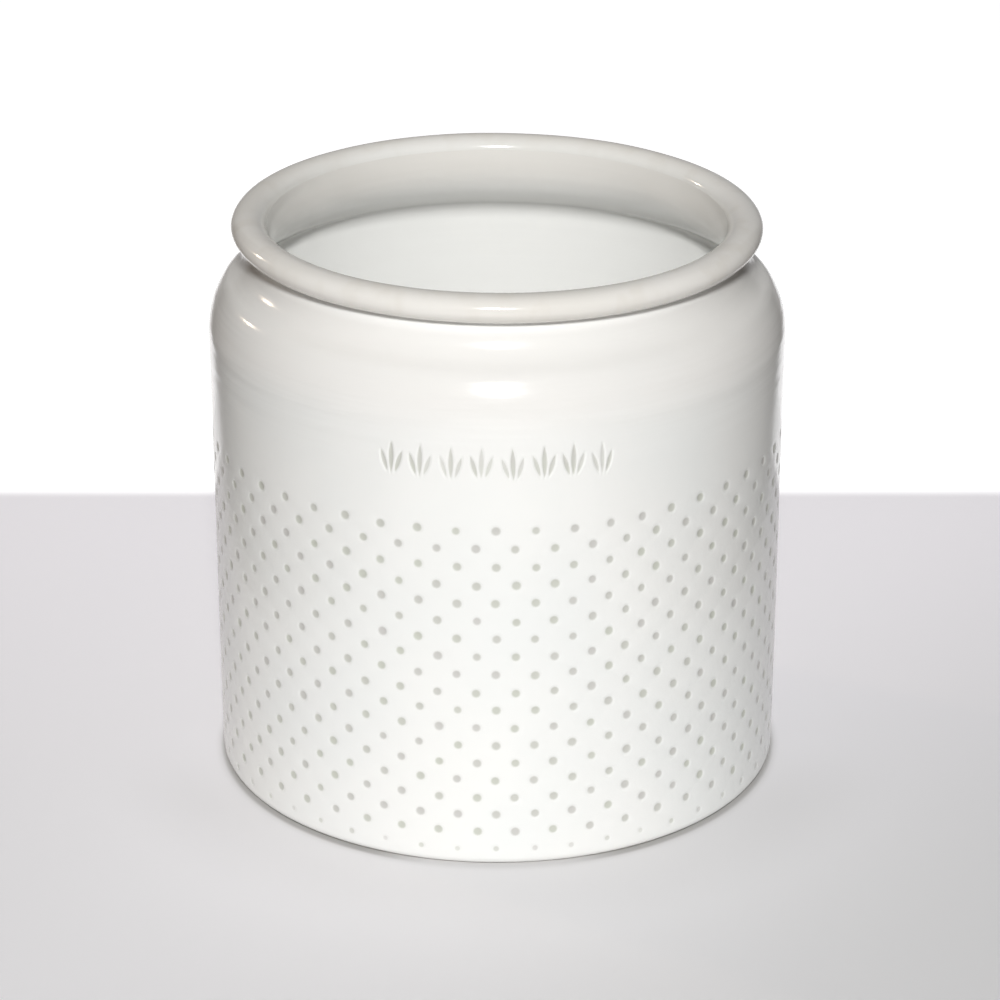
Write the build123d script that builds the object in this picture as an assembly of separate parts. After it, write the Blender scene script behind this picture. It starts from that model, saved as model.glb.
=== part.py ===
from build123d import *
import os
from math import atan2, cos, degrees, hypot, radians, sin

# A glazed stoneware crock for kitchen utensils, thrown in one piece and fired.
# It stands on z = 0 on its bare foot ring, its axis is Z, and its front is at -Y.
# Every surface is turned about Z, so a section is drawn as (radius, height).
# The clay is split where a potter builds it up: foot, base, wall, shoulder, rim.
# The two coats of glaze are thin shells of their own, face to face with the clay.

# Driving dimensions, in mm and degrees
total_height = 154.0
wall_radius_low = 75.8        # outside, just above the rounded lower edge
wall_radius_high = 76.3       # outside, where the shoulder starts
wall_thickness = 5.2          # clay and both coats of glaze
glaze = 0.5                   # thickness of each coat

foot_height = 0.4             # bare clay stands this proud of the glaze underneath
foot_radius_out = 73.4
foot_radius_in = 66.0
foot_chamfer = 0.15
edge_radius = 2.2             # rounding between the underside and the wall

floor_height = 8.2            # inside floor, on top of the glaze
floor_corner = 6.0            # inside rounding between floor and wall
base_lip = 1.2                # the base takes in this much of the wall above the floor

shoulder_height = 122.0       # where the wall starts to turn in
shoulder_radius = 21.8        # first, wide turn
shoulder_turn = 33.4
brow_radius = 7.0             # second, tighter turn over the top of the shoulder
brow_turn = 26.6
throat_radius = 11.1          # hollow curve from the shoulder up into the neck

vault_turn = 60.0             # the inside turns in this far under the shoulder
lip_radius = 15.3             # and bends up again into the neck
neck_height = 146.3           # where the inside of the neck is narrowest
mouth_flare = 8.0             # how far it leans out again where it runs into the rim

rim_radius = 65.15            # the rolled rim is an oval coil
rim_half_width = 4.55
rim_half_height = 3.65

# What follows from them
rim_height = total_height - rim_half_height
flare = radians(mouth_flare)
oval_reach = hypot(rim_half_width * cos(flare), rim_half_height * sin(flare))
seat_radius = rim_radius - rim_half_width**2 * cos(flare) / oval_reach
seat_height = rim_height + rim_half_height**2 * sin(flare) / oval_reach
flare_radius = (seat_height - neck_height) / sin(flare)
neck_radius_in = seat_radius - flare_radius * (1 - cos(flare))
lean = degrees(atan2(wall_radius_high - wall_radius_low, shoulder_height - foot_height - edge_radius))
base_height = floor_height - glaze + base_lip
closest = 0.001               # a shorter run than this is left out


def smooth_path(start, moves, top, inset):
    # Chain of tangent lines and arcs that sets out level and outwards, then runs on to the top.
    # A move is a length, or a (radius, turn) pair. The chain is shifted left by the inset.
    heading = 0
    here = Vector(start[0], start[1] + inset)
    edges = []
    for move in moves:
        if isinstance(move, tuple):
            radius, turn = move
            bend = radius - inset if turn > 0 else radius + inset
            tangent = (cos(radians(heading)), sin(radians(heading)))
            edges.append(JernArc(here, tangent, bend, turn))
            heading += turn
        else:
            edges.append(PolarLine(here, move, heading))
        here = edges[-1] @ 1
    rest = (top - here.Y) / sin(radians(heading))
    if rest > closest:
        edges.append(PolarLine(here, rest, heading))
    return edges


def turned(edges):
    # Solid between the axis and a path, from the path's low end to its high end.
    low = edges[0] @ 0
    high = edges[-1] @ 1
    corners = [high, (0, high.Y), low]
    if low.X > 0:
        corners.insert(2, (0, low.Y))
    section = make_face(edges + [Polyline(*corners)])
    return revolve(Plane.XZ * section, Axis.Z)


def outer_form(inset):
    # Solid inside the outer surface, up into the rim.
    # Its underside stays at the top of the foot, whatever the inset.
    rise = (shoulder_height - foot_height - edge_radius) / cos(radians(lean))
    turns_in = shoulder_turn + brow_turn
    moves = [
        (edge_radius, 90 - lean),
        rise,
        (shoulder_radius, shoulder_turn + lean),
        (brow_radius, brow_turn),
        (throat_radius, -turns_in),
    ]
    start = (wall_radius_low - edge_radius, foot_height)
    path = smooth_path(start, moves, seat_height, inset)
    if inset > 0:
        path.insert(0, Line(start, path[0] @ 0))
    return turned(path)


def cavity_form(inset):
    # Solid that fills the inside, from the floor to where the neck touches the rim's oval.
    wall_low = wall_radius_low - wall_thickness
    wall_high = wall_radius_high - wall_thickness
    turned_in = 1 - cos(radians(vault_turn))
    vault_radius = (wall_high - neck_radius_in) / turned_in - lip_radius
    vault_height = neck_height - (vault_radius + lip_radius) * sin(radians(vault_turn))
    rise = (vault_height - floor_height - floor_corner) / cos(radians(lean))
    moves = [
        wall_low - floor_corner,
        (floor_corner, 90 - lean),
        rise,
        (vault_radius, vault_turn + lean),
        (lip_radius, -vault_turn),
        (flare_radius, -mouth_flare),
    ]
    return turned(smooth_path((0, floor_height), moves, seat_height, inset))


def slice_between(solid, low, high):
    # The part of a solid between two heights.
    side = 3 * wall_radius_high
    return solid & Pos(0, 0, (low + high) / 2) * Box(side, side, high - low)


def foot_ring():
    # Bare ring of clay that the crock stands on.
    ring = Cylinder(foot_radius_out, foot_height) - Cylinder(foot_radius_in, foot_height)
    ring = Pos(0, 0, foot_height / 2) * ring
    return chamfer(ring.edges().group_by(Axis.Z)[0], foot_chamfer)


def rolled_rim(neck):
    # Oval coil rolled outwards over the top of the neck.
    section = Pos(rim_radius, rim_height) * Ellipse(rim_half_width, rim_half_height)
    return revolve(Plane.XZ * section, Axis.Z) - neck


def make_parts():
    outside = outer_form(0)
    clay_outside = outer_form(glaze)
    clay_inside = cavity_form(-glaze)
    inside = cavity_form(0)
    clay = clay_outside - clay_inside
    return {
        "foot_ring": foot_ring(),
        "base": slice_between(clay, foot_height, base_height),
        "body_wall": slice_between(clay, base_height, shoulder_height),
        "shoulder": slice_between(clay, shoulder_height, seat_height),
        "rolled_rim": rolled_rim(outside),
        "outer_glaze": outside - clay_outside,
        "inner_glaze": clay_inside - inside,
    }


def main():
    os.makedirs("parts", exist_ok=True)
    for name, shape in make_parts().items():
        shape.label = name
        export_step(shape, f"parts/{name}.step")
        size = shape.bounding_box().size
        print(f"{name}: {shape.volume / 1000:.1f} cm3, {size.X:.1f} x {size.Y:.1f} x {size.Z:.1f} mm")


main()
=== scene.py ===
import math
import random

import bpy
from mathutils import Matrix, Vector, noise


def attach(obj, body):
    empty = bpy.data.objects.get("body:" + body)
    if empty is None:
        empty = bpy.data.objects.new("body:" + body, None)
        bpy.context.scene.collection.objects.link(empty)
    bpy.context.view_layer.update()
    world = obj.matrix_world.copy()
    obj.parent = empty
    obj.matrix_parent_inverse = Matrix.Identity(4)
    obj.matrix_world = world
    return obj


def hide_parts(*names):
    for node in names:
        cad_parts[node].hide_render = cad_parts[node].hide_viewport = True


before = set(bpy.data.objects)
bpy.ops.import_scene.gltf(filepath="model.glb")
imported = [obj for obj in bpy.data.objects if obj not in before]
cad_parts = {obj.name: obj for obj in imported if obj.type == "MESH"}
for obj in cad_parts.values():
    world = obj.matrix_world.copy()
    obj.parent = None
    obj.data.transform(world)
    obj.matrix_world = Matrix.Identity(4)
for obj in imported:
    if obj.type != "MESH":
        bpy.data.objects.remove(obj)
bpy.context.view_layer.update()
mm = 0.001
turn = 2 * math.pi
mergeReach = 0.004 * mm               # points closer than this become one
rounding = 1e-9                       # allowance when distances are compared


def clearSelection():
    bpy.ops.object.select_all(action="DESELECT")


def pick(*pieces):
    clearSelection()
    for piece in pieces:
        piece.select_set(True)
    bpy.context.view_layer.objects.active = pieces[0]


def editing(piece, selectAll=True):
    pick(piece)
    bpy.ops.object.mode_set(mode="EDIT")
    bpy.ops.mesh.select_all(action="SELECT" if selectAll else "DESELECT")


def doneEditing():
    bpy.ops.object.mode_set(mode="OBJECT")


def joined(pieces, name):
    pick(*pieces)
    bpy.ops.object.join()
    whole = bpy.context.object
    whole.name = name
    whole.data.name = name
    return whole


def closeSeams(piece):
    editing(piece)
    bpy.ops.mesh.remove_doubles(threshold=mergeReach)
    bpy.ops.mesh.normals_make_consistent(inside=False)
    doneEditing()


def smooth(piece, sharpest):
    # edges sharper than this many degrees stay sharp
    pick(piece)
    bpy.ops.object.shade_smooth_by_angle(angle=math.radians(sharpest))


def step(low, high, value):
    # 0 below low, 1 above high, and a soft climb between
    t = min(max((value - low) / (high - low), 0.0), 1.0)
    return t * t * (3 - 2 * t)


def bell(grows, fades, value):
    # climbs from 0 to 1 over the first pair of limits, and falls again over the second
    return step(*grows, value) * (1 - step(*fades, value))


# An outline is drawn in radius and height, from moves: a number is a straight run,
# a pair is an arc of (radius, degrees turned left). Its runs are (start, length, r, z, heading, bend).

def outlineFrom(r, z, heading, moves):
    runs = []
    along = 0.0
    for move in moves:
        if isinstance(move, tuple):
            radius, bend = move
            length = radius * abs(math.radians(bend))
        else:
            length, bend = move, 0.0
        runs.append((along, length, r, z, heading, math.radians(bend)))
        r, z, heading = runAt(runs[-1], length)
        along += length
    return runs


def runAt(run, distance):
    # radius, height and heading at a distance along one run
    length, r, z, heading, bend = run[1:]
    if bend == 0:
        return r + distance * math.cos(heading), z + distance * math.sin(heading), heading
    if length == 0:
        return r, z, heading + bend
    radius = length / bend
    now = heading + bend * distance / length
    r += radius * (math.sin(now) - math.sin(heading))
    z -= radius * (math.cos(now) - math.cos(heading))
    return r, z, now


def endOf(runs):
    return runAt(runs[-1], runs[-1][1])


def outlineAt(runs, along):
    for run in reversed(runs):
        if along >= run[0] - rounding and run[1] > 0:
            return runAt(run, along - run[0])
    return runAt(runs[0], along)


crock = {
    "height": 154.0 * mm,
    "wallLow": 75.8 * mm,             # outside radius above the rounded lower edge
    "wallHigh": 76.3 * mm,            # outside radius where the shoulder starts
    "wallThickness": 5.2 * mm,
    "glaze": 0.5 * mm,
    "footHeight": 0.4 * mm,
    "edge": 2.2 * mm,                 # rounding between the underside and the wall
    "floor": 8.2 * mm,
    "floorCorner": 6.0 * mm,
    "baseTop": 8.9 * mm,              # the clay base ends here, hidden in the wall
    "shoulderHeight": 122.0 * mm,
    "shoulder": (21.8 * mm, 33.4),    # the wide turn over the wall, radius and degrees
    "brow": (7.0 * mm, 26.6),         # the tighter turn above it
    "throat": 11.1 * mm,              # the hollow turn up into the neck
    "lip": 15.3 * mm,                 # bends up into the neck, inside
    "vaultTurn": 60.0,                # degrees the inside turns in under the shoulder
    "neckHeight": 146.3 * mm,         # the inside is narrowest here
    "mouthFlare": 8.0,                # degrees it leans out where it runs into the rim
    "rimRadius": 65.15 * mm,
    "rimHalfWidth": 4.55 * mm,
    "rimHalfHeight": 3.65 * mm,
    "columns": 192,                   # faces round the wall
    "bendPerRow": 6,                  # degrees that one row of faces turns at most
    "firstColumn": -0.25,             # a column of dots stands this many degrees from the front
}
wallRise = crock["shoulderHeight"] - crock["footHeight"] - crock["edge"]
lean = math.atan2(crock["wallHigh"] - crock["wallLow"], wallRise)
leanDegrees = math.degrees(lean)


def seat():
    # radius and height where the inside of the neck touches the rim's oval
    flare = math.radians(crock["mouthFlare"])
    wide, tall = crock["rimHalfWidth"], crock["rimHalfHeight"]
    reach = math.hypot(wide * math.cos(flare), tall * math.sin(flare))
    r = crock["rimRadius"] - wide ** 2 * math.cos(flare) / reach
    return r, crock["height"] - tall + tall ** 2 * math.sin(flare) / reach


def outsideMoves():
    # from the underside's rim up into the hollow under the rolled rim
    wide, wideTurn = crock["shoulder"]
    tight, tightTurn = crock["brow"]
    return [
        (crock["edge"], 90 - leanDegrees),
        wallRise / math.cos(lean),
        (wide, wideTurn + leanDegrees),
        (tight, tightTurn),
        (crock["throat"], -wideTurn - tightTurn),
    ]


def insideMoves(grow=0.0):
    # from the floor's middle up to the rim, grown into the clay by so much
    low = crock["wallLow"] - crock["wallThickness"]
    high = crock["wallHigh"] - crock["wallThickness"]
    lip, turnIn = crock["lip"], math.radians(crock["vaultTurn"])
    flare = math.radians(crock["mouthFlare"])
    seatRadius, seatHeight = seat()
    flareRadius = (seatHeight - crock["neckHeight"]) / math.sin(flare)
    neckInside = seatRadius - flareRadius * (1 - math.cos(flare))
    vault = (high - neckInside) / (1 - math.cos(turnIn)) - lip
    vaultHeight = crock["neckHeight"] - (vault + lip) * math.sin(turnIn)
    return [
        low - crock["floorCorner"],
        (crock["floorCorner"] + grow, 90 - leanDegrees),
        (vaultHeight - crock["floor"] - crock["floorCorner"]) / math.cos(lean),
        (vault + grow, crock["vaultTurn"] + leanDegrees),
        (lip - grow, -crock["vaultTurn"]),
        (flareRadius - grow, -crock["mouthFlare"]),
    ]


def backwards(moves):
    return [(m[0], -m[1]) if isinstance(m, tuple) else m for m in reversed(moves)]


# The wall and the lining are flat sheets first, wrapped round the axis when they are finished.
# A sheet lies in x and z with its glaze towards -y: x goes round, z along the outline, y is depth.

circumference = turn * crock["wallLow"]
columnWidth = circumference / crock["columns"]


def stood(piece):
    # a flat primitive stood up to face the front
    piece.rotation_euler = (math.pi / 2, 0, 0)
    bpy.ops.object.transform_apply(location=False, rotation=True, scale=False)


def sheet(name, low, high, rows):
    clearSelection()
    bpy.ops.mesh.primitive_grid_add(x_subdivisions=crock["columns"], y_subdivisions=rows, size=1)
    made = bpy.context.object
    made.name = name
    stood(made)
    editing(made)
    bpy.ops.transform.resize(value=(circumference, 1, high - low))
    bpy.ops.transform.translate(value=(0, 0, (low + high) / 2))
    doneEditing()
    return made


def plainSheets(runs, longest, name):
    # a sheet for each of these runs of an outline that has a length
    made = []
    for run in runs:
        start, length, bend = run[0], run[1], run[-1]
        if length > 0:
            bent = math.ceil(abs(math.degrees(bend)) / crock["bendPerRow"])
            made.append(sheet(name, start, start + length, max(1, math.ceil(length / longest), bent)))
    return made


thrown = {
    "stray": 0.10 * mm,               # how far the hand-thrown wall strays
    "waves": ((26, 0.6, 1), (60, 2, 0.4)),      # noise scale, its share along z, and weight
    "setsIn": (4 * mm, 20 * mm),      # heights over which it sets in, above the flat foot
    "middle": 20 * mm,                # the floor is left alone up to this radius
    "rimTilt": 0.36,                  # degrees, the rim isn't quite level
    "tilts": (0.118, 0.142),          # heights over which the tilt sets in
}


def strayed(point):
    # the small unevenness of a hand-thrown pot, and its rim that isn't level
    x, y, z = point
    r = math.hypot(x, y)
    if r > thrown["middle"]:
        swell = 0.0
        for scale, tall, weight in thrown["waves"]:
            swell += weight * noise.noise(Vector((x, y, z * tall)) * scale)
        grow = 1 + thrown["stray"] * swell * step(*thrown["setsIn"], z) / r
        x *= grow
        y *= grow
    z -= x * math.tan(math.radians(thrown["rimTilt"])) * step(*thrown["tilts"], z)
    return Vector((x, y, z))


def wrapRound(piece, runs, slid=None):
    first = math.radians(crock["firstColumn"])
    for vertex in piece.data.vertices:
        across, deep, along = vertex.co
        angle = turn * across / circumference + first
        if slid:
            angle, along = slid(angle, along)
        r, z, heading = outlineAt(runs, along)
        r -= deep * math.sin(heading)
        z += deep * math.cos(heading)
        vertex.co = strayed((r * math.sin(angle), -r * math.cos(angle), z))


view = {
    "distance": 0.930,
    "height": 0.4688,
    "lookDown": 0.4041,               # radians
    "lookRight": 0.0008,
    "lens": 134.53,
    "sensor": 36,
    "clipEnd": 50,
}


def addCamera():
    clearSelection()
    bpy.ops.object.camera_add(location=(0, -view["distance"], view["height"]))
    camera = bpy.context.object
    camera.rotation_euler = (math.pi / 2 - view["lookDown"], 0, -view["lookRight"])
    camera.data.sensor_width = view["sensor"]
    camera.data.lens = view["lens"]
    camera.data.clip_end = view["clipEnd"]
    bpy.context.scene.camera = camera


# lamps are round and look at the crock, and the one with a "tall" is upright and looks level
lights = {
    "flash": {"at": (0.02, -2.70, 1.86), "size": 0.40, "power": 98, "colour": (1, 1, 1)},
    "leftLamp": {"at": (-1.066, 0.632, 0.478), "size": 0.08, "power": 1.25, "colour": (1, 0.80, 0.62)},
    "overhead": {"at": (0, 0.3, 2.2), "size": 2.2, "power": 1.4, "colour": (1, 1, 0.99)},
    "panel": {"at": (0, 0.205, 0.21), "size": 0.36, "tall": 0.40, "power": 0.12, "colour": (1, 1, 1)},
}
aimAt = Vector((0, 0, 0.09))
room = {
    "colour": (1, 0.96, 0.92, 1),
    "strength": 0.060,                # of the even light all round
}


def addLights():
    for name, lamp in lights.items():
        clearSelection()
        bpy.ops.object.light_add(type="AREA", location=lamp["at"])
        light = bpy.context.object
        light.name = name
        target = Vector((0, 0, lamp["at"][2])) if "tall" in lamp else aimAt
        light.rotation_euler = (target - light.location).to_track_quat("-Z", "Y").to_euler()
        light.data.shape = "RECTANGLE" if "tall" in lamp else "DISK"
        light.data.size = lamp["size"]
        light.data.size_y = lamp.get("tall", lamp["size"])
        light.data.energy = lamp["power"]
        light.data.color = lamp["colour"]
        light.visible_camera = False
    world = bpy.data.worlds.new("room")
    world.use_nodes = True
    background = world.node_tree.nodes["Background"]
    background.inputs["Color"].default_value = room["colour"]
    background.inputs["Strength"].default_value = room["strength"]
    bpy.context.scene.world = world
    bpy.context.scene.view_settings.view_transform = "Standard"


class Signal:
    # a socket that can be used in sums
    def __init__(self, recipe, socket):
        self.recipe = recipe
        self.socket = socket

    def sums(self, how, first, second):
        return self.recipe.node("ShaderNodeMath", {"operation": how}, {0: first, 1: second})

    def __add__(self, other):
        return self.sums("ADD", self, other)

    def __radd__(self, other):
        return self.sums("ADD", other, self)

    def __sub__(self, other):
        return self.sums("SUBTRACT", self, other)

    def __rsub__(self, other):
        return self.sums("SUBTRACT", other, self)

    def __mul__(self, other):
        return self.sums("MULTIPLY", self, other)

    def __rmul__(self, other):
        return self.sums("MULTIPLY", other, self)

    def __abs__(self):
        return self.sums("ABSOLUTE", self, 0)

    def atLeast(self, low):
        return self.sums("MAXIMUM", self, low)


class Recipe:
    # one material and its nodes
    def __init__(self, name):
        self.material = bpy.data.materials.new(name)
        self.material.use_nodes = True
        self.tree = self.material.node_tree
        self.place = self.node("ShaderNodeTexCoord", output="Object")

    def node(self, kind, settings=None, sockets=None, output=0):
        made = self.tree.nodes.new(kind)
        for name, value in (settings or {}).items():
            setattr(made, name, value)
        self.fill(made, sockets or {})
        return Signal(self, made.outputs[output])

    def fill(self, made, sockets):
        for key, value in sockets.items():
            if isinstance(value, Signal):
                self.tree.links.new(value.socket, made.inputs[key])
            else:
                made.inputs[key].default_value = value

    def cloud(self, scale, detail, stretch=(1, 1, 1)):
        # noise in object space, 0 to 1
        at = self.node("ShaderNodeMapping", None, {"Vector": self.place, "Scale": stretch}, "Vector")
        sockets = {"Vector": at, "Scale": scale, "Detail": detail}
        return self.node("ShaderNodeTexNoise", None, sockets, "Fac")

    def blend(self, amount, first, second):
        # the Mix node's colour sockets go by number, because their names repeat
        sockets = {"Factor": amount, 6: first, 7: second}
        return self.node("ShaderNodeMix", {"data_type": "RGBA"}, sockets, 2)

    def ramp(self, value, low, high):
        # 0 below low, 1 above high
        limits = {"Value": value, "From Min": low, "From Max": high}
        return self.node("ShaderNodeMapRange", {"interpolation_type": "SMOOTHSTEP"}, limits, "Result")

    def attribute(self, name):
        return self.node("ShaderNodeAttribute", {"attribute_name": name}, None, "Fac")

    def along(self, axis):
        # the x, y or z of the point
        return self.node("ShaderNodeSeparateXYZ", None, {0: self.place}, axis)

    def radius(self):
        # how far the point is from the axis
        flat = self.node("ShaderNodeMapping", None, {"Vector": self.place, "Scale": (1, 1, 0)}, "Vector")
        return self.node("ShaderNodeVectorMath", {"operation": "LENGTH"}, {0: flat}, "Value")

    def bump(self, height, distance, strength):
        sockets = {"Height": height, "Distance": distance, "Strength": strength}
        return self.node("ShaderNodeBump", None, sockets)

    def finish(self, sockets):
        self.fill(self.tree.nodes["Principled BSDF"], sockets)
        return self.material


glazes = {
    "white": (0.86, 0.86, 0.835, 1),
    "whiteThick": (0.83, 0.84, 0.82, 1),
    "warm": (0.80, 0.765, 0.73, 1),       # where the glaze runs thin
    "paintedThroatLight": (0.92, 0.915, 0.89, 1),     # painted light: the throat in the crevice under the rim is paler, to lift its shade
    "pitGreen": (0.565, 0.58, 0.51, 1),   # clay showing through in the dots
    "pitPink": (0.575, 0.565, 0.54, 1),
    "rim": (0.785, 0.76, 0.71, 1),
    "rimPale": (0.84, 0.82, 0.78, 1),
    "rimThin": (0.72, 0.68, 0.61, 1),
    "inside": (0.90, 0.90, 0.875, 1),
    "neck": (0.79, 0.765, 0.72, 1),
    "clay": (0.63, 0.55, 0.44, 1),
    "clayPale": (0.74, 0.68, 0.58, 1),
    "claySpeck": (0.36, 0.29, 0.21, 1),
    "floorLeft": (0.76, 0.75, 0.755, 1),
    "floorShadedRight": (0.62, 0.615, 0.605, 1),
    "floorShadedAside": (0.20, 0.18, 0.17, 1),  # painted shade: the table is dark to both sides
    "paintedShadowGrey": (0.50, 0.49, 0.48, 1),     # painted shadow where the crock's rounded edge meets the table
    "floorGlow": (0.15, 0.15, 0.16, 1),   # a pool of light on the table
    "floorGlowFar": (0.245, 0.235, 0.26, 1),
    "beyond": (0.98, 0.98, 0.99, 1),      # the white sheet behind the crock
    # painted light: the white sheet glows, as a lit wall would
    "beyondGlow": (0.66, 0.66, 0.67, 1),
    "dark": (0, 0, 0, 1),
}


def shine(clouds, least, more):
    # roughness, a little uneven
    return least + clouds * more


# In these looks a pair is the limits of a ramp, in noise or in metres, but "shine" is what its function
# takes, "bump" is distance and strength, and clouds, rings and the like are a noise's scale and detail.

wallLook = {
    "clouds": (22, 3),
    "thick": (0.35, 0.7),             # clouds of thicker glaze
    "thins": (0.118, 0.130),          # it runs thin over the shoulder
    "thin": 0.40,
    "throatLightFrom": (0.1425, 0.1450),        # painted light: paler from here up, in the crevice under the rim
    "pressed": (0.18, 0.95),          # how deep a dot is before the clay shows
    "shine": (0.13, 0.05),
    "pitEdge": (0.0, 0.5),
    "pitDull": 0.2,                   # pits are this much rougher
    "peel": (420, 2),                 # fine orange peel on the glaze
    "peelHeight": 0.25,
    "dimples": (90, 2),
    "dimpleHeight": 0.7,
    "rings": (1.0, 2, (14, 14, 230)), # left by fingers while it turned
    "ringsFrom": (0.100, 0.125),
    "ringHeight": 6.0,
    "bump": (0.07 * mm, 0.7),
}


def wallGlaze():
    mix = Recipe("wallGlaze")
    drift = mix.cloud(*wallLook["clouds"])
    pressed = mix.attribute("pressed")
    tone = mix.attribute("tone")
    height = mix.along("Z")
    body = mix.blend(mix.ramp(drift, *wallLook["thick"]), glazes["white"], glazes["whiteThick"])
    body = mix.blend(mix.ramp(height, *wallLook["thins"]) * wallLook["thin"], body, glazes["warm"])
    # painted light: the throat in the crevice under the rim is painted paler to lift its shade
    body = mix.blend(mix.ramp(height, *wallLook["throatLightFrom"]), body, glazes["paintedThroatLight"])
    pit = mix.blend(tone, glazes["pitGreen"], glazes["pitPink"])
    dull = mix.ramp(pressed, *wallLook["pitEdge"]) * wallLook["pitDull"]
    peel = mix.cloud(*wallLook["peel"]) * wallLook["peelHeight"]
    peel = peel + mix.cloud(*wallLook["dimples"]) * wallLook["dimpleHeight"]
    rings = mix.cloud(*wallLook["rings"]) * mix.ramp(height, *wallLook["ringsFrom"])
    return mix.finish({
        "Base Color": mix.blend(mix.ramp(pressed, *wallLook["pressed"]), body, pit),
        "Roughness": shine(drift, *wallLook["shine"]) + dull,
        "Normal": mix.bump(peel + rings * wallLook["ringHeight"], *wallLook["bump"]),
    })


rimLook = {
    "clouds": (16, 2),
    "pale": (0.3, 0.7),
    "streaks": (130, 2, (1, 1, 0.5)),
    "streaked": (0.45, 0.70),
    "streak": 0.35,                   # how strong the streaks of thin glaze are
    "inward": (0.0605, 0.0640),       # the rim's inner side is whiter
    "white": 0.4,
    "shine": (0.12, 0.05),
    "uneven": (120, 3),
    "bump": (0.08 * mm, 0.6),
}


def rimGlaze():
    mix = Recipe("rimGlaze")
    drift = mix.cloud(*rimLook["clouds"])
    streaks = mix.ramp(mix.cloud(*rimLook["streaks"]), *rimLook["streaked"]) * rimLook["streak"]
    colour = mix.blend(mix.ramp(drift, *rimLook["pale"]), glazes["rim"], glazes["rimPale"])
    colour = mix.blend(streaks, colour, glazes["rimThin"])
    inner = rimLook["white"] - mix.ramp(mix.radius(), *rimLook["inward"]) * rimLook["white"]
    return mix.finish({
        "Base Color": mix.blend(inner, colour, glazes["whiteThick"]),
        "Roughness": shine(drift, *rimLook["shine"]),
        "Normal": mix.bump(mix.cloud(*rimLook["uneven"]), *rimLook["bump"]),
    })


liningLook = {
    "clouds": (18, 3),
    "thick": (0.3, 0.7),
    "thicker": 0.3,
    "neckFrom": (0.136, 0.147),
    "neck": 0.85,                     # how far the neck takes on its own colour
    "shine": (0.10, 0.06),
    "dimples": (110, 2),
    "rings": (1.0, 2, (12, 12, 260)),
    "ringHeight": 3.0,
    "bump": (0.06 * mm, 0.6),
}


def liningGlaze():
    mix = Recipe("liningGlaze")
    drift = mix.cloud(*liningLook["clouds"])
    thick = mix.ramp(drift, *liningLook["thick"]) * liningLook["thicker"]
    neck = mix.ramp(mix.along("Z"), *liningLook["neckFrom"]) * liningLook["neck"]
    colour = mix.blend(thick, glazes["inside"], glazes["whiteThick"])
    rings = mix.cloud(*liningLook["rings"]) * liningLook["ringHeight"]
    return mix.finish({
        "Base Color": mix.blend(neck, colour, glazes["neck"]),
        "Roughness": shine(drift, *liningLook["shine"]),
        "Normal": mix.bump(mix.cloud(*liningLook["dimples"]) + rings, *liningLook["bump"]),
    })


clayLook = {
    "clouds": (60, 3),
    "pale": (0.3, 0.7),
    "grain": (1400, 3),
    "specks": (0.60, 0.72),
    "speck": 0.5,
    "shine": (0.78, 0.15),
    "bump": (0.05 * mm, 0.8),
}


def bareClay(name):
    mix = Recipe(name)
    grain = mix.cloud(*clayLook["grain"])
    drift = mix.cloud(*clayLook["clouds"])
    colour = mix.blend(mix.ramp(drift, *clayLook["pale"]), glazes["clay"], glazes["clayPale"])
    specks = mix.ramp(grain, *clayLook["specks"]) * clayLook["speck"]
    return mix.finish({
        "Base Color": mix.blend(specks, colour, glazes["claySpeck"]),
        "Roughness": shine(grain, *clayLook["shine"]),
        "Normal": mix.bump(grain, *clayLook["bump"]),
    })


table = {
    "size": 12,
    "squares": 8,
    "aside": (0.160, 0.200),          # painted shade past this, to both sides
    "opens": 0.125,                   # the lit strip gets this much wider behind the crock
    "sheetStarts": (0.168, 0.178),    # the white sheet, along y
    "sheetEnds": (0.85, 0.95),
    "rightward": (-0.02, 0.26),       # painted shade: from the left part's colour to the darker right part's
    "slant": 0.9,                     # of the line where they meet
    "glowGrows": (-0.12, 0.17),       # along y
    "shade": (0.0750, 0.0785),        # no glow under the crock
    "shadowRing": (0.0754, 0.0769),          # painted shadow under the rounded edge
    "shadowRingSides": (0.016, 0.036),       # but not right in front
    "near": (0.076, 0.115),           # painted shade: less glow close in front of the crock
    "inFront": (0.0, 0.05),
    "nearDark": 0.5,
    "clouds": (30, 2),
    "shine": (0.5, 0.1),
    "glow": 1.0,
}


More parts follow.
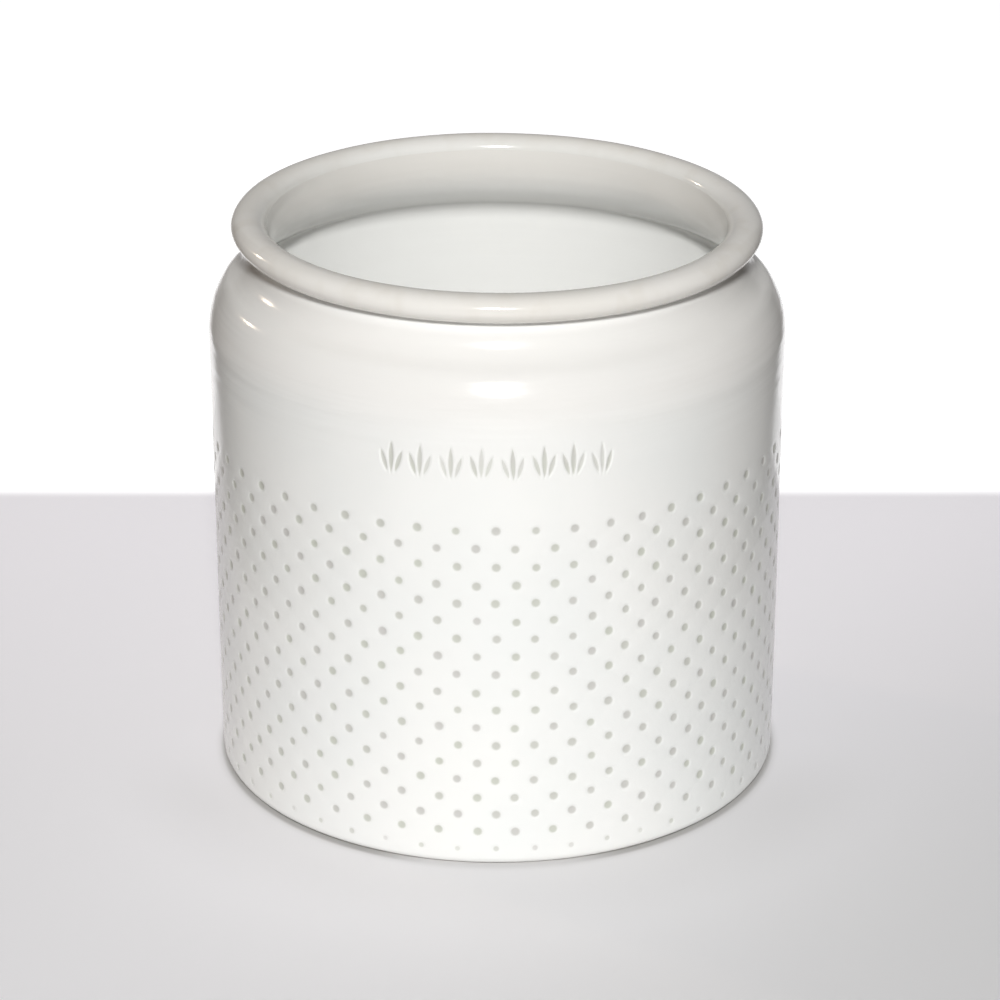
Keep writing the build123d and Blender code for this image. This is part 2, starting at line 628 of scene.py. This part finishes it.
def floorPaint():
    # a grey table, painted darker to the right, with painted shade to both sides and a painted shadow
    # under the crock's edge, a glow of painted light, and a white sheet that starts behind the crock
    mix = Recipe("floorPaint")
    x, y, radius = mix.along("X"), mix.along("Y"), mix.radius()
    aside = mix.ramp(abs(x) - y.atLeast(0) * table["opens"], *table["aside"])
    white = mix.ramp(y, *table["sheetStarts"]) * (1 - mix.ramp(y, *table["sheetEnds"])) * (1 - aside)
    rightward = mix.ramp(x - y * table["slant"], *table["rightward"])
    # painted shade: the table grows darker to the right
    grey = mix.blend(rightward, glazes["floorLeft"], glazes["floorShadedRight"])
    # painted shade: the table is painted dark to both sides
    grey = mix.blend(aside, grey, glazes["floorShadedAside"])
    # painted shadow in a thin ring under the crock's edge, fading out right in front
    shadowRing = mix.ramp(abs(x), *table["shadowRingSides"]) * (1 - mix.ramp(radius, *table["shadowRing"]))
    grey = mix.blend(shadowRing, grey, glazes["paintedShadowGrey"])
    glow = mix.blend(mix.ramp(y, *table["glowGrows"]), glazes["floorGlow"], glazes["floorGlowFar"])
    nearby = (1 - mix.ramp(radius, *table["near"])) * mix.ramp(0 - y, *table["inFront"])
    glow = mix.blend(nearby * table["nearDark"], glow, glazes["dark"])
    shaded = 1 - mix.ramp(radius, *table["shade"]) * (1 - aside)
    glow = mix.blend(shaded, glow, glazes["dark"])
    return mix.finish({
        "Base Color": mix.blend(white, grey, glazes["beyond"]),
        "Roughness": shine(mix.cloud(*table["clouds"]), *table["shine"]),
        # painted light: the table and the white sheet glow, with painted shade where the glow is taken
        # away under and close in front of the crock
        "Emission Color": mix.blend(white, glow, glazes["beyondGlow"]),
        "Emission Strength": table["glow"],
    })


def addFloor():
    clearSelection()
    squares = table["squares"]
    bpy.ops.mesh.primitive_grid_add(x_subdivisions=squares, y_subdivisions=squares, size=table["size"])
    ground = bpy.context.object
    ground.name = "floor"
    ground.data.materials.append(floorPaint())


# the dotted wall is the outer glaze and the clay behind it, with its shoulder and neck
wallFaces = {
    "edgeRows": 4,                    # rows of faces round the lower edge
    "bandRows": 10,                   # and in the plain band over the dots
    "shoulderStep": 1.2 * mm,         # the tallest row on the shoulder and neck
    "hiddenStep": 9 * mm,             # and on the sides that nobody sees
    "sharpest": 62,
}

dots = {
    "columns": 48,
    "rows": 19,
    "rowStep": 4.99 * mm,
    "topRow": 94.98 * mm,             # height of the highest row
    "sides": 12,
    "spread": 2.05 * mm,              # the glaze is level again this far from a dot's middle
    "margin": 1.01,                   # on the spread, so that a dot's own edge moves with it
    "rings": ((1.52 * mm, 0.05 * mm), (1.10 * mm, 0.14 * mm), (0.70 * mm, 0.23 * mm)),
    "lastRow": 0.55,                  # the lowest row is fainter
    "stray": 0.22 * mm,
    "sizes": (0.93, 1.06),
    "depths": (0.75, 1.12),
    "stain": 0.1,                     # the clay shows a little more than the depth says
    "lag": 1.9,                       # degrees the upper rows fall behind on the right
    "lagRows": ((-26, -13), (4, 13)), # counted down from the top row
    "lift": 0.6 * mm,                 # and how much higher the dots stand there
    "liftRows": ((-4, -0.5), (17, 19)),
    "right": ((15, 42), (80, 120)),   # degrees from the front
    "seed": 17,
}
dotWidth = circumference / dots["columns"]


def dotCell():
    # one dot pressed into a flat piece of glaze, four columns wide and as tall as a row
    sides = dots["sides"]
    clearSelection()
    bpy.ops.mesh.primitive_circle_add(vertices=sides, radius=dots["spread"], fill_type="NGON")
    cell = bpy.context.object
    cell.name = "dotCell"
    stood(cell)
    editing(cell)
    radius, depth = dots["spread"], 0.0
    for ringRadius, ringDepth in dots["rings"]:
        inward = (radius - ringRadius) * math.cos(math.pi / sides)
        bpy.ops.mesh.inset(thickness=inward, depth=depth - ringDepth)
        radius, depth = ringRadius, ringDepth
    bpy.ops.mesh.select_all(action="DESELECT")
    bpy.ops.mesh.select_mode(type="EDGE")
    bpy.ops.mesh.select_non_manifold()
    bpy.ops.mesh.extrude_edges_move()
    bpy.ops.mesh.select_mode(type="VERT")
    doneEditing()
    across = (2, 2, 1, 0, -1, -2, -2, -2, -1, 0, 1, 2)      # the frame's points, in columns
    up = (0, 1, 1, 1, 1, 1, 0, -1, -1, -1, -1, -1)          # and in half rows
    for vertex in cell.data.vertices:
        if vertex.select:
            place = round(math.atan2(vertex.co.z, vertex.co.x) / turn * sides) % sides
            vertex.co.x = across[place] * columnWidth
            vertex.co.z = up[place] * dots["rowStep"] / 2
    return cell


def copied(piece):
    # with a mesh of its own
    twin = piece.copy()
    twin.data = piece.data.copy()
    bpy.context.collection.objects.link(twin)
    return twin


def dotRow(cell):
    # the cell repeated once round
    row = copied(cell)
    pick(row)
    array = row.modifiers.new("round", "ARRAY")
    array.count = dots["columns"]
    array.use_relative_offset = False
    array.use_constant_offset = True
    array.constant_offset_displace = (dotWidth, 0, 0)
    array.use_merge_vertices = True
    array.merge_threshold = mergeReach / 2
    bpy.ops.object.modifier_apply(modifier=array.name)
    return row


def placedRow(row, number, top):
    # a copy of the row at its own height, each dot a little off its place, size and depth
    luck = random.Random(dots["seed"] + number)
    placed = copied(row)
    middle = top - number * dots["rowStep"]
    shift = (number % 2) * dotWidth / 2
    faint = dots["lastRow"] if number == dots["rows"] - 1 else 1.0
    pressed = placed.data.attributes.new("pressed", "FLOAT", "POINT")
    tone = placed.data.attributes.new("tone", "FLOAT", "POINT")
    deepest = dots["rings"][-1][1]
    reach = dots["spread"] * dots["margin"]
    own = []
    for place in range(dots["columns"]):
        right = luck.uniform(-1, 1) * dots["stray"]
        up = luck.uniform(-1, 1) * dots["stray"]
        size = luck.uniform(*dots["sizes"]) * (0.5 + faint / 2)
        press = luck.uniform(*dots["depths"]) * faint
        own.append((right, up, size, press, luck.random()))
    for vertex in placed.data.vertices:
        place = round(vertex.co.x / dotWidth)
        centre = place * dotWidth
        if math.hypot(vertex.co.x - centre, vertex.co.z) < reach:
            right, up, size, press, colour = own[place]
            pressed.data[vertex.index].value = vertex.co.y / deepest * min(press + dots["stain"], 1.0)
            tone.data[vertex.index].value = colour
            vertex.co.x = centre + right + (vertex.co.x - centre) * size
            vertex.co.y *= press
            vertex.co.z = up + vertex.co.z * size
        vertex.co.x += shift
        vertex.co.z += middle
    return placed


marks = {
    "count": 8,
    "step": 7.7 * mm,
    "height": 113.2 * mm,
    "grains": (                       # across, up, length, width, lean in degrees
        (0.0, 0.1 * mm, 10.2 * mm, 1.7 * mm, 0),
        (-1.9 * mm, -1.0 * mm, 7.4 * mm, 1.6 * mm, -17),
        (1.9 * mm, -1.0 * mm, 7.4 * mm, 1.6 * mm, 17),
    ),
    "strayAcross": 0.2,               # in mm
    "strayUp": 0.25,
    "swing": 2.0,                     # degrees a sprig leans at most
    "strengths": (0.7, 1.0),
    "depth": 0.30 * mm,
    "edge": 0.45 * mm,
    "overrun": 0.2,                   # this share of the edge lies outside a grain
    "tint": 0.9,
    "toneScale": 220,
    "margins": (1.5 * mm, 1.2 * mm),  # to both sides, and over and under the marks
    "cuts": 7,                        # the glaze is divided this finely under the marks
    "seed": 5,
}


def grainPlaces(middle):
    # every grain as (x, z, half length, half width, cosine and sine of its lean, strength)
    luck = random.Random(marks["seed"])
    front = -math.radians(crock["firstColumn"]) * crock["wallLow"]
    places = []
    for number in range(marks["count"]):
        x = front + (number - (marks["count"] - 1) / 2) * marks["step"]
        x += luck.uniform(-marks["strayAcross"], marks["strayAcross"]) * mm
        z = middle + luck.uniform(-marks["strayUp"], marks["strayUp"]) * mm
        swing = luck.uniform(-marks["swing"], marks["swing"])
        for across, up, length, width, tilt in marks["grains"]:
            way = math.radians(tilt + swing)
            strength = luck.uniform(*marks["strengths"])
            place = (x + across, z + up, length / 2, width / 2, math.cos(way), math.sin(way), strength)
            places.append(place)
    return places


def grainPress(x, z, grains):
    # how firmly the glaze is pressed in at a point, 0 to 1
    press = 0.0
    for middleX, middleZ, half, wide, c, s, strength in grains:
        if abs(x - middleX) < half and abs(z - middleZ) < half:
            along = (x - middleX) * s + (z - middleZ) * c
            across = (x - middleX) * c - (z - middleZ) * s
            room = wide * (1 - (along / half) ** 2) - abs(across)
            press = max(press, strength * step(-marks["overrun"] * marks["edge"], marks["edge"], room))
    return press


def markedBand(low, high, middle):
    # the plain glaze over the dots, with the row of sprigs stamped into its front
    band = sheet("markedBand", low, high, wallFaces["bandRows"])
    grains = grainPlaces(middle)
    aside, above = marks["margins"]
    reach = marks["count"] / 2 * marks["step"] + aside
    tall = marks["grains"][0][2] / 2 + above
    editing(band, selectAll=False)
    bpy.ops.mesh.select_mode(type="FACE")
    doneEditing()
    for face in band.data.polygons:
        face.select = abs(face.center.x) < reach and abs(face.center.z - middle) < tall
    bpy.ops.object.mode_set(mode="EDIT")
    bpy.ops.mesh.subdivide(number_cuts=marks["cuts"])
    bpy.ops.mesh.select_mode(type="VERT")
    doneEditing()
    pressed = band.data.attributes.new("pressed", "FLOAT", "POINT")
    tone = band.data.attributes.new("tone", "FLOAT", "POINT")
    for vertex in band.data.vertices:
        press = grainPress(vertex.co.x, vertex.co.z, grains)
        pressed.data[vertex.index].value = press * marks["tint"]
        tone.data[vertex.index].value = 0.5 + 0.5 * noise.noise(vertex.co * marks["toneScale"])
        vertex.co.y = press * marks["depth"]
    return band


def wallOutline():
    # round the glaze, over the neck, down inside the clay and back under the glaze
    glaze, corner = crock["glaze"], crock["floorCorner"]
    start = (crock["wallLow"] - crock["edge"], crock["footHeight"], 0)
    inside = backwards(insideMoves(glaze))[:4]
    drop = math.asin((crock["floor"] + corner - crock["baseTop"]) / (corner + glaze))
    aboveEdge = crock["baseTop"] - crock["footHeight"] - crock["edge"]
    outerSide = crock["wallLow"] - glaze + math.tan(lean) * aboveEdge
    neckRadius, neckHeight = endOf(outlineFrom(*start, outsideMoves()))[:2]
    flare = math.radians(crock["mouthFlare"])
    seatRadius, seatHeight = seat()
    clayRadius, clayHeight = seatRadius + glaze * math.cos(flare), seatHeight - glaze * math.sin(flare)
    moves = outsideMoves() + [
        clayHeight - neckHeight, (0, 90), neckRadius - clayRadius, (0, 90 - crock["mouthFlare"]),
        *inside, (corner + glaze, leanDegrees - math.degrees(drop)),
    ]
    innerSide = endOf(outlineFrom(*start, moves))[0]
    moves += [
        (0, 90 + math.degrees(drop)), outerSide - innerSide,
        (0, -90 - leanDegrees), aboveEdge / math.cos(lean),
        (crock["edge"] - glaze, leanDegrees - 90),
    ]
    underside = endOf(outlineFrom(*start, moves))[1]
    return outlineFrom(*start, moves + [(0, 90), underside - crock["footHeight"]])


def rolledByHand(topRow):
    # the dots aren't quite square to the wall; the points slide on it, so its shape stays
    def slid(angle, along):
        azimuth = (math.degrees(angle) + 180) % 360 - 180
        row = (topRow - along) / dots["rowStep"]
        side = bell(*dots["right"], azimuth)
        angle -= math.radians(dots["lag"]) * side * bell(*dots["lagRows"], row)
        along += dots["lift"] * side * bell(*dots["liftRows"], row)
        return angle, along
    return slid


def dottedWall():
    runs = wallOutline()
    shoulder, hidden = runs[2:6], runs[6:]      # the first two are the rounded edge and the wall
    wallTop = shoulder[0][0]

    def alongAt(height):
        return wallTop - (crock["shoulderHeight"] - height) / math.cos(lean)

    topRow = alongAt(dots["topRow"])
    dotsTop = topRow + dots["rowStep"] / 2
    dotsLow = dotsTop - dots["rows"] * dots["rowStep"]
    cell = dotCell()
    row = dotRow(cell)
    parts = [placedRow(row, number, topRow) for number in range(dots["rows"])]
    for spare in (cell, row):
        bpy.data.objects.remove(spare)
    parts.append(sheet("edge", 0, dotsLow, wallFaces["edgeRows"]))
    parts.append(markedBand(dotsTop, wallTop, alongAt(marks["height"])))
    parts += plainSheets(shoulder, wallFaces["shoulderStep"], "shoulder")
    parts += plainSheets(hidden, wallFaces["hiddenStep"], "hidden")
    wall = joined(parts, "dottedWall")
    wrapRound(wall, runs, rolledByHand(topRow))
    closeSeams(wall)
    smooth(wall, wallFaces["sharpest"])
    wall.data.materials.append(wallGlaze())
    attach(wall, "root")
    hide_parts("outer_glaze", "body_wall", "shoulder")
    print("dottedWall:", len(wall.data.polygons), "faces")


lining = {
    "rowStep": 4.0 * mm,              # the tallest row of faces
    "sharpest": 62,
}


def insideGlaze():
    # up from the floor's middle, over the coat's edge under the rim, and back inside the clay
    moves = insideMoves() + [(0, -90), crock["glaze"], (0, -90)] + backwards(insideMoves(crock["glaze"]))
    runs = outlineFrom(0, crock["floor"], 0, moves)
    skin = joined(plainSheets(runs, lining["rowStep"], "lining"), "insideGlaze")
    wrapRound(skin, runs)
    closeSeams(skin)
    smooth(skin, lining["sharpest"])
    skin.data.materials.append(liningGlaze())
    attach(skin, "root")
    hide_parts("inner_glaze")
    print("insideGlaze:", len(skin.data.polygons), "faces")


rim = {
    "round": 192,                     # faces round the rim, and round its section
    "section": 32,
    "uneven": 0.10 * mm,
    "unevenScale": 45,
    "sharpest": 60,
}


def rolledRim():
    # an oval section turned round the neck
    clearSelection()
    bpy.ops.mesh.primitive_circle_add(vertices=rim["section"], radius=0.5)
    coil = bpy.context.object
    coil.name = "rolledRim"
    stood(coil)
    editing(coil)
    bpy.ops.transform.resize(value=(2 * crock["rimHalfWidth"], 1, 2 * crock["rimHalfHeight"]))
    bpy.ops.transform.translate(value=(crock["rimRadius"], 0, crock["height"] - crock["rimHalfHeight"]))
    bpy.ops.mesh.spin(steps=rim["round"], angle=turn, center=(0, 0, 0), axis=(0, 0, 1))
    doneEditing()
    closeSeams(coil)
    for vertex in coil.data.vertices:
        vertex.co = strayed(vertex.co)
        vertex.co.z += rim["uneven"] * noise.noise(vertex.co * rim["unevenScale"])
    smooth(coil, rim["sharpest"])
    coil.data.materials.append(rimGlaze())
    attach(coil, "root")
    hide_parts("rolled_rim")
    print("rolledRim:", len(coil.data.polygons), "faces")


def paintNodes():
    # the clay foot and base keep their own shape
    for name in ("foot_ring", "base"):
        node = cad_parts[name]
        node.data.materials.clear()
        node.data.materials.append(bareClay(name + "Clay"))


addCamera()
addLights()
addFloor()
print("camera, light and floor are set")
dottedWall()
insideGlaze()
rolledRim()
paintNodes()
print("clay foot and base are painted")
